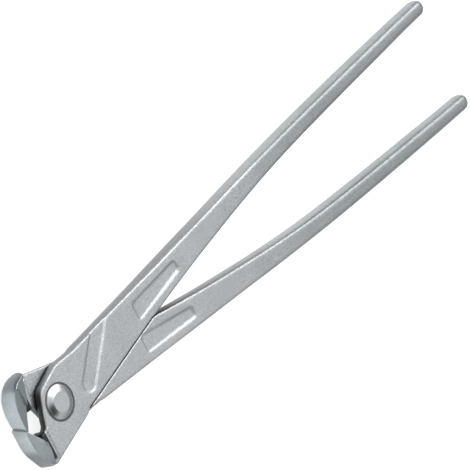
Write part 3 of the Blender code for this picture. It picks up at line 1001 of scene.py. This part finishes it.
def forged_zinc(finish):
    """Zinc over a forged skin: fine orange-peel grain, cloudy tone, painted shade on side faces,
    tips, joint walls and corners, painted shadows behind the jaw and round the rivet.
    """
    material, tree, shader = shader_tree("zinc_plated_forging")
    place = position(tree)
    cloud = noise(tree, place, *FORGED_CLOUD)
    peel = noise(tree, place, *ORANGE_PEEL)
    grit = noise(tree, place, *GRIT)
    zinc = clouded(tree, cloud, CLOUD_LEVELS, finish.zinc, FORGED_TONES)
    zinc = mixed(tree, ramp(tree, grit, *GRIT_LEVELS), shaded(finish.zinc, GRIT_TONE), zinc)

    split = add(tree, "ShaderNodeSeparateXYZ", Vector=place)
    x, y = split.outputs["X"], split.outputs["Y"]
    # Painted shade: the colour grows darker towards the handle tips
    tip_shade = ramp_from(tree, x, AXIS.x, TIP_SHADE_X)
    zinc = mixed(tree, tip_shade, zinc, mixed(tree, 1.0, zinc, TIP_SHADE_TONE, "MULTIPLY"))

    # Painted shade on faces that stand on edge, fading out towards the handle tips
    upright = noted(tree, "upright")
    on_edge = ramp(tree, upright, *SIDE_SHADE_UPRIGHT)
    edge = times(tree, on_edge, ramp_from(tree, x, AXIS.x, SIDE_SHADE_X, 1, 0))
    zinc = mixed(tree, edge, zinc, shaded(finish.zinc, SIDE_SHADE_TONE))
    # Painted shade on the joint's walls on the jaw's side of the rivet
    inner = ramp_from(tree, x, AXIS.x, JOINT_SHADE_X, 1, 0)
    zinc = mixed(tree, times(tree, inner, ramp(tree, upright, *JOINT_SHADE_UPRIGHT)), zinc, JOINT_SHADE)
    # Painted shadow in the crease behind the lower jaw
    behind_jaw = ramp_from(tree, x, AXIS.x, CREASE_SHADOW_X, 1, 0)
    crease_shadow = times(tree, behind_jaw, ramp_from(tree, y, AXIS.y, CREASE_SHADOW_Y))
    zinc = mixed(tree, crease_shadow, zinc, CREASE_SHADOW)
    # Painted shadow in a ring round the rivet's head
    zinc = mixed(tree, ramp(tree, from_axis(tree, place), *SEAT_SHADOW_RADII), SEAT_SHADOW, zinc)

    low, high = FORGED_ROUGHNESS
    rough = ramp(tree, peel, *GRAIN_LEVELS, finish.roughness + low, finish.roughness + high)
    grain = bump(tree, grit, *GRIT_BUMP, bump(tree, peel, *PEEL_BUMP))
    # Painted shade in narrow corners
    make_metal(tree, shader, corner_shade(tree, zinc, *FORGED_CORNER_SHADE), rough, grain)
    return material


def ground_zinc(finish):
    """Zinc over ground steel: smoother and bluer, with painted shade on its ends, undersides and
    corners, and darker flats.
    """
    material, tree, shader = shader_tree("zinc_plated_grinding")
    place = position(tree)
    cloud = noise(tree, place, *GROUND_CLOUD)
    grain = noise(tree, place, *GRINDING_GRAIN)
    zinc = clouded(tree, cloud, CLOUD_LEVELS, finish.ground, GROUND_TONES)

    along_y, upright = noted(tree, "end_face"), noted(tree, "upright")
    # Painted shade on ends that face along Y and on undersides
    shady = shaded(finish.ground, SHADY_TONE)
    zinc = mixed(tree, ramp(tree, along_y, *END_ALONG_Y), zinc, shady)
    facing = ramp(tree, along_y, *UNDER_ALONG_Y, 1, 0)
    under = times(tree, facing, ramp(tree, upright, *UNDER_UPRIGHT))
    zinc = mixed(tree, under, zinc, shady)
    zinc = mixed(tree, ramp(tree, upright, *FLAT_UPRIGHT), shaded(finish.ground, FLAT_TONE), zinc)

    low, high = GROUND_ROUGHNESS
    rough = ramp(tree, grain, *GRAIN_LEVELS, finish.roughness + low, finish.roughness + high)
    normal = bump(tree, grain, *GRAIN_BUMP)
    # Painted shade in narrow corners
    make_metal(tree, shader, corner_shade(tree, zinc, *GROUND_CORNER_SHADE), rough, normal)
    return material


def turned_steel(finish):
    """Turned steel: fine rings about the rivet's axis over a plated tone, with painted shade at
    the rim and in corners.
    """
    material, tree, shader = shader_tree("rivet_steel")
    place = position(tree)
    radius = from_axis(tree, place)
    along = add(tree, "ShaderNodeCombineXYZ", X=radius)
    rings = noise(tree, along.outputs["Vector"], *TURNING_RINGS)
    cloud = noise(tree, place, *RIVET_CLOUD)
    steel = clouded(tree, cloud, GRAIN_LEVELS, finish.rivet, RIVET_TONES)
    steel = mixed(tree, ramp(tree, rings, *CLOUD_LEVELS), shaded(finish.rivet, RING_TONE), steel)
    # Painted shade round the rivet's rim
    steel = mixed(tree, ramp(tree, radius, *RIM_SHADE_RADII), steel, RIM_SHADE)
    rough = ramp(tree, rings, *GRAIN_LEVELS, *RIVET_ROUGHNESS)
    normal = bump(tree, rings, *RING_BUMP)
    # Painted shade in narrow corners
    make_metal(tree, shader, corner_shade(tree, steel, *RIVET_CORNER_SHADE), rough, normal)
    return material


def dress(obj, material):
    """Gives an object its one material."""
    obj.data.materials.clear()
    obj.data.materials.append(material)


class PLIERS_OT_forge_arms(Operator):
    """Make both forged arms, with their lap faces and bare panels"""

    bl_idname = "pliers.forge_arms"
    bl_label = "Forge arms"

    def execute(self, context):
        scene = context.scene
        steel = forged_zinc(scene.pliers_finish)
        for node, wall, turn in (("front_arm", 0, 0), ("rear_arm", REAR_WALL, pi)):
            arm = forge_arm(node + "_forging", wall, turn, scene.pliers_shape)
            dress(arm, steel)
            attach(arm, node + "_body")
            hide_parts(node)
        return {"FINISHED"}


class PLIERS_OT_grind_jaws(Operator):
    """Make both ground jaws, with their cutting edges"""

    bl_idname = "pliers.grind_jaws"
    bl_label = "Grind jaws"

    def execute(self, context):
        scene = context.scene
        steel = ground_zinc(scene.pliers_finish)
        jaws = (
            ("lower_jaw", "front_arm", LOWER_MIDDLE_ROUND, LOWER_SIDES, False, 0),
            ("upper_jaw", "rear_arm", UPPER_MIDDLE_ROUND, UPPER_SIDES, True, pi),
        )
        for name, node, middle_round, sides, faceted, turn in jaws:
            jaw = grind_jaw(name, middle_round, sides, faceted, turn, scene.pliers_shape)
            dress(jaw, steel)
            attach(jaw, node + "_body")
            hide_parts(node)
        return {"FINISHED"}


class PLIERS_OT_turn_rivet(Operator):
    """Turn the rivet, with a flat-topped dome on both ends"""

    bl_idname = "pliers.turn_rivet"
    bl_label = "Turn rivet"

    def execute(self, context):
        obj = turn_rivet("domed_rivet")
        dress(obj, turned_steel(context.scene.pliers_finish))
        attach(obj, "front_arm_body")
        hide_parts("rivet")
        return {"FINISHED"}


# Stage

CAMERA_PLACE = (-0.76489, 0.35048, 0.82492)
CAMERA_RIGHT = (0.56484792, -0.42840283, 0.70527855)
CAMERA_UP = (0.51053225, 0.85289741, 0.10919173)
CAMERA_BACK = (-0.6483083, 0.29839072, 0.70047079)
CAMERA_LENS = 268.085
CAMERA_SENSOR = 36
CAMERA_CLIP = (0.05, 20)

FLOOR_HALF = 6.0
FLOOR_DROP = 0.1 * MM  # below the part, so that the two don't share a plane
FLOOR_TONE = 0.99
FLOOR_ROUGHNESS = 0.9
FLOOR_GLOW = 0.75

KEY_DIRECTION = (0.5, 0.38, 0.78)
KEY_DISTANCE = 1.6
KEY_SIZE = 1.3

TENT_HEIGHTS = (0.2, 0.8)  # between which the tent brightens
# The tent's dark opening: its direction, and the cosines of the angles where it starts and is full
OPENING = (0.03, -0.4, 0.92)
OPENING_COSINES = (0.925, 0.98)
OPENING_TONE = 0.02


def lay_floor(colour):
    """The pale floor under the part, which glows where it is seen or mirrored."""
    bm = bmesh.new()
    bmesh.ops.create_grid(bm, x_segments=1, y_segments=1, size=FLOOR_HALF)
    bmesh.ops.translate(bm, vec=(0, 0, CAD_BOX[0][2] - FLOOR_DROP), verts=bm.verts)
    floor = object_from(bm, "floor")
    material, tree, shader = shader_tree("pale_floor")
    cloud = ramp(tree, noise(tree, position(tree), *FLOOR_CLOUD), 0, 1)
    grey = mixed(tree, cloud, shaded(colour, FLOOR_TONE), colour)
    tree.links.new(grey, shader.inputs["Base Color"])
    shader.inputs["Roughness"].default_value = FLOOR_ROUGHNESS
    shader.inputs["Emission Color"].default_value = (1, 1, 1, 1)
    glow = times(tree, seen_or_mirrored(tree), FLOOR_GLOW)
    tree.links.new(glow, shader.inputs["Emission Strength"])
    dress(floor, material)


def seen_or_mirrored(tree):
    """1 for rays from the camera or off a glossy or clear surface, otherwise 0."""
    path = add(tree, "ShaderNodeLightPath").outputs
    total = path["Is Camera Ray"]
    for name in ("Is Glossy Ray", "Is Transmission Ray"):
        total = figured(tree, "ShaderNodeMath", "MAXIMUM", total, path[name])["Value"]
    return total


def hang_light(radiance):
    """A square soft light above the handles, facing the joint."""
    data = bpy.data.lights.new("key_light", "AREA")
    data.shape = "SQUARE"
    data.size = KEY_SIZE
    data.energy = radiance * pi * KEY_SIZE * KEY_SIZE
    obj = bpy.data.objects.new("key_light", data)
    bpy.context.scene.collection.objects.link(obj)
    away = Vector(KEY_DIRECTION).normalized()
    obj.location = away * KEY_DISTANCE
    obj.rotation_euler = away.to_track_quat("Z", "Y").to_euler()


def pitch_tent(horizon, dome):
    """A white tent of light round the part, with one dark opening."""
    world = bpy.data.worlds.new("studio")
    bpy.context.scene.world = world
    world.use_nodes = True
    tree = world.node_tree
    background = tree.nodes["Background"]
    background.inputs["Color"].default_value = (1, 1, 1, 1)
    ray = add(tree, "ShaderNodeTexCoord").outputs["Generated"]
    height = add(tree, "ShaderNodeSeparateXYZ", Vector=ray).outputs["Z"]
    tent = ramp(tree, height, *TENT_HEIGHTS, horizon, dome)
    aim = Vector(OPENING).normalized()
    nearness = figured(tree, "ShaderNodeVectorMath", "DOT_PRODUCT", ray, aim)["Value"]
    shade = ramp(tree, nearness, *OPENING_COSINES, 1, OPENING_TONE)
    tree.links.new(times(tree, tent, shade), background.inputs["Strength"])


def place_camera():
    """The camera at the photograph's angle."""
    data = bpy.data.cameras.new("camera")
    data.sensor_fit = "HORIZONTAL"
    data.sensor_width = CAMERA_SENSOR
    data.lens = CAMERA_LENS
    data.clip_start, data.clip_end = CAMERA_CLIP
    camera = bpy.data.objects.new("camera", data)
    scene = bpy.context.scene
    scene.collection.objects.link(camera)
    axes = Matrix((CAMERA_RIGHT, CAMERA_UP, CAMERA_BACK)).transposed()
    camera.matrix_world = Matrix.Translation(CAMERA_PLACE) @ axes.to_4x4()
    scene.camera = camera


class PLIERS_OT_set_stage(Operator):
    """Set the pale floor, the soft light, the white tent and the camera"""

    bl_idname = "pliers.set_stage"
    bl_label = "Set stage"

    def execute(self, context):
        settings = context.scene.pliers_stage
        lay_floor(settings.floor)
        hang_light(settings.key)
        pitch_tent(settings.horizon, settings.dome)
        place_camera()
        context.scene.view_settings.view_transform = "Standard"
        return {"FINISHED"}


class PLIERS_PT_pliers(Panel):
    bl_label = "Rebar tying pliers"
    bl_idname = "PLIERS_PT_pliers"
    bl_space_type = "VIEW_3D"
    bl_region_type = "UI"
    bl_category = "Pliers"

    def draw(self, context):
        scene = context.scene
        for group in (scene.pliers_shape, scene.pliers_finish, scene.pliers_stage):
            box = self.layout.box()
            for name in group.__annotations__:
                box.prop(group, name)
        for operator in OPERATORS:
            self.layout.operator(operator.bl_idname)


OPERATORS = (PLIERS_OT_forge_arms, PLIERS_OT_grind_jaws, PLIERS_OT_turn_rivet, PLIERS_OT_set_stage)
GROUPS = (PliersShape, PliersFinish, PliersStage)
SCENE_POINTERS = {
    "pliers_shape": PliersShape,
    "pliers_finish": PliersFinish,
    "pliers_stage": PliersStage,
}


def register():
    for kind in (*GROUPS, *OPERATORS, PLIERS_PT_pliers):
        bpy.utils.register_class(kind)
    for name, group in SCENE_POINTERS.items():
        setattr(bpy.types.Scene, name, PointerProperty(type=group))


def unregister():
    for name in SCENE_POINTERS:
        delattr(bpy.types.Scene, name)
    for kind in reversed((*GROUPS, *OPERATORS, PLIERS_PT_pliers)):
        bpy.utils.unregister_class(kind)


def main():
    register()
    bpy.ops.pliers.forge_arms()
    bpy.ops.pliers.grind_jaws()
    bpy.ops.pliers.turn_rivet()
    bpy.ops.pliers.set_stage()


if __name__ == "__main__":
    main()
